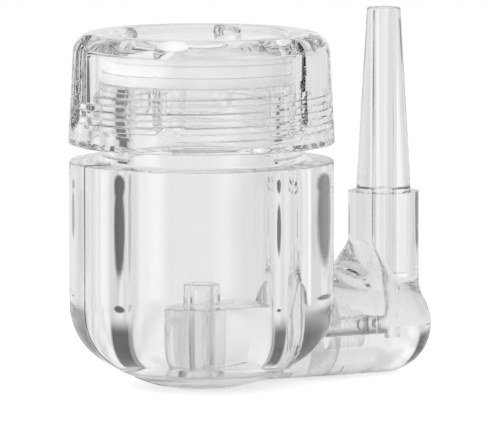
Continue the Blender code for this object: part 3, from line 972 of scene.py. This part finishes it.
def make_camera():
    right, up, back = view_axes()
    camera = bpy.data.objects.new("camera", bpy.data.cameras.new("camera"))
    bpy.context.scene.collection.objects.link(camera)
    aim = right * VIEW_AIM_RIGHT + Vector((0.0, 0.0, VIEW_AIM_Z))
    turn = Matrix((right, up, back)).transposed().to_4x4()
    camera.matrix_world = Matrix.Translation(aim + back * VIEW_DISTANCE) @ turn
    camera.data.lens = VIEW_LENS_MM
    camera.data.sensor_width = VIEW_SENSOR_MM
    camera.data.clip_start = 0.01
    camera.data.clip_end = 20.0
    bpy.context.scene.camera = camera


def make_lamps():
    """Two soft lamps for the floor and the matt pieces, hidden from the plastic."""
    right, _, back = view_axes()
    for name, (to_right, to_back, up, power) in LAMPS.items():
        light = bpy.data.lights.new(name, "AREA")
        light.size = LAMP_SIZE
        light.energy = power
        lamp = bpy.data.objects.new(name, light)
        bpy.context.scene.collection.objects.link(lamp)
        lamp.location = right * to_right + back * to_back + Vector((0.0, 0.0, up))
        lamp.visible_transmission = False
        lamp.visible_glossy = False
        lamp.rotation_euler = (LAMP_AIM - lamp.location).to_track_quat("-Z", "Y").to_euler()


def window(graph, value, low, high, softness):
    """1 between two values, fading to 0 outside them."""
    rising = graph.remap(value, low - softness / 2, low + softness / 2, 0.0, 1.0)
    falling = graph.remap(value, high - softness / 2, high + softness / 2, 1.0, 0.0)
    return graph.math("MULTIPLY", rising, falling)


def tent_card(graph, turn, height, turns, heights, taken):
    """The share of the tent's light that a card leaves in a direction."""
    middle, half = (turns[0] + turns[1]) / 2, (turns[1] - turns[0]) / 2
    off = graph.math("WRAP", graph.math("SUBTRACT", turn, middle), 180.0, -180.0)
    across = window(graph, graph.math("ABSOLUTE", off), -CARD_SOFTNESS, half, CARD_SOFTNESS)
    inside = graph.math("MULTIPLY", across, window(graph, height, *heights, 2 * CARD_SOFTNESS))
    return graph.math("SUBTRACT", 1.0, graph.math("MULTIPLY", inside, taken))


def tent_light(graph, direction, turn, height):
    """What the plastic shows: an unevenly lit tent with cards."""
    cloud = graph.noise(direction, 3.2, 1.0)
    light = graph.remap(cloud, 0.36, 0.62, TENT_SHADE, TENT_LIGHT)
    for card in TENT_CARDS:
        light = graph.math("MULTIPLY", light, tent_card(graph, turn, height, *card))
    return light


def room_light(graph, to_right, to_top):
    """What lights matt surfaces: strongest from the sides, and from the left most of all."""
    overhead = graph.math("MAXIMUM", to_top, 0.0)
    room = graph.math("MULTIPLY_ADD", overhead, TOP_LIGHT - SIDE_LIGHT, SIDE_LIGHT)
    to_left = graph.math("MAXIMUM", graph.math("MULTIPLY", to_right, -1.0), 0.0)
    return graph.math("MULTIPLY", room, graph.math("MULTIPLY_ADD", to_left, LEFT_LIGHT, 1.0))


def make_world():
    """White to the camera, a grey tent to the plastic, and a brighter room to matt surfaces."""
    world = bpy.data.worlds.new("tent")
    world.use_nodes = True
    bpy.context.scene.world = world
    graph = Graph(world.node_tree)
    direction = graph.add("ShaderNodeTexCoord").outputs["Generated"]
    right, _, _ = view_axes()
    behind = Vector((-math.sin(VIEW_AZIMUTH), math.cos(VIEW_AZIMUTH), 0.0))
    parts = []
    for axis in (right, behind, Vector((0.0, 0.0, 1.0))):
        inputs = {0: direction, 1: tuple(axis)}
        dot = graph.add("ShaderNodeVectorMath", inputs, operation="DOT_PRODUCT")
        parts.append(dot.outputs["Value"])
    to_right, to_behind, to_top = parts
    turn = graph.math("DEGREES", graph.math("ARCTAN2", to_right, to_behind))
    height = graph.math("DEGREES", graph.math("ARCSINE", to_top))
    tent = tent_light(graph, direction, turn, height)
    path = graph.add("ShaderNodeLightPath").outputs
    is_matt = graph.math("MINIMUM", path["Diffuse Depth"], 1.0)
    on_matt = graph.math("MULTIPLY", is_matt, room_light(graph, to_right, to_top))
    light = graph.math("MAXIMUM", graph.math("MAXIMUM", tent, path["Is Camera Ray"]), on_matt)
    background = graph.tree.nodes["Background"]
    graph.feed(background, {"Strength": light, "Color": (1.0, 1.0, 1.0, 1.0)})


def card_material():
    """Dark felt, solid in a card's middle and gone at its ragged rim."""
    material, graph, shader = new_material("dark_card")
    place = graph.place()
    felt = graph.noise(place, 60.0, 3.0)
    graph.feed(shader, {"Base Color": graph.tint(felt, grey(0.03), grey(0.08)), "Roughness": 0.9})
    from_middle = graph.add("ShaderNodeAttribute", attribute_name="rim").outputs["Fac"]
    ragged = graph.math("MULTIPLY", graph.noise(place, 350.0, 4.0), 0.35)
    solid = graph.remap(graph.math("ADD", from_middle, ragged), 0.75, 1.1, 1.0, 0.0)
    clear = graph.add("ShaderNodeBsdfTransparent").outputs[0]
    mixed = graph.add("ShaderNodeMixShader", {"Fac": solid, 1: clear, 2: shader.outputs[0]})
    graph.feed(graph.tree.nodes["Material Output"], {"Surface": mixed.outputs[0]})
    return material


def oval_card(name, turn, half_turn, middle, half_height):
    """An oval card bent round the object. Its "rim" attribute is 0 in its middle and 1 at its rim."""
    straight_behind = math.pi / 2 + VIEW_AZIMUTH
    rows = range(1, NEAR_CARD_RINGS + 1)
    rims = [0.0] + [row / NEAR_CARD_RINGS for row in rows for _ in range(NEAR_CARD_CORNERS)]
    around = [0.0] + list(even_angles(NEAR_CARD_CORNERS)) * NEAR_CARD_RINGS
    vertices = []
    for rim, a in zip(rims, around, strict=True):
        angle = straight_behind - math.radians(turn + half_turn * rim * math.cos(a))
        x, y = NEAR_CARD_DISTANCE * math.cos(angle), NEAR_CARD_DISTANCE * math.sin(angle)
        vertices.append((x, y, middle + half_height * rim * math.sin(a)))
    ends = [(j, (j + 1) % NEAR_CARD_CORNERS) for j in range(NEAR_CARD_CORNERS)]
    faces = [(0, 1 + j, 1 + k) for j, k in ends]
    for row in rows[:-1]:
        outer = 1 + row * NEAR_CARD_CORNERS
        inner = outer - NEAR_CARD_CORNERS
        faces += [(inner + j, outer + j, outer + k, inner + k) for j, k in ends]
    card = mesh_object(name, vertices, faces)
    card.data.attributes.new("rim", "FLOAT", "POINT").data.foreach_set("value", rims)
    return card


def make_near_cards():
    """Oval cards on a circle round the object, hidden from the camera and casting no shadow."""
    material = card_material()
    for number, sizes in enumerate(NEAR_CARDS, 1):
        card = oval_card(f"card_{number}", *sizes)
        card.data.materials.append(material)
        card.visible_camera = False
        card.visible_diffuse = False
        card.visible_shadow = False


def set_rendering():
    """Plain colours, and enough bounces for light to get through all the plastic."""
    scene = bpy.context.scene
    scene.view_settings.view_transform = "Standard"
    scene.cycles.max_bounces = 24
    scene.cycles.transmission_bounces = 24
    scene.cycles.glossy_bounces = 12
    scene.cycles.transparent_max_bounces = 16


def make_stage():
    make_camera()
    make_world()
    make_lamps()
    make_floor()
    make_near_cards()
    set_rendering()


def make_part():
    drawn = acrylic("acrylic_drawn", 0.2, streak=0.01 * MM, darkest=0.9)
    # The parting line's dark tint, down to 0.2, is painted shade.
    seam = acrylic("acrylic_seam_painted_shade", 0.5, darkest=0.2)
    bored = acrylic("acrylic_bore", 0.1, wave=0.0005 * MM, darkest=0.99, uneven=0.1)
    make_cup(acrylic("acrylic_cup", 0.012), drawn, seam)
    make_cap(acrylic("acrylic_cap", 0.015, darkest=0.985))
    make_elbow(acrylic("acrylic_elbow", 0.012, darkest=0.985), drilled("acrylic_drilled"))
    make_stem(acrylic("acrylic_stem", 0.05, darkest=0.985), bored)
    make_nozzle(acrylic("acrylic_nozzle", 0.02))
    make_stack(silicone_material(), ceramic_material())


def main():
    make_stage()
    make_part()


main()
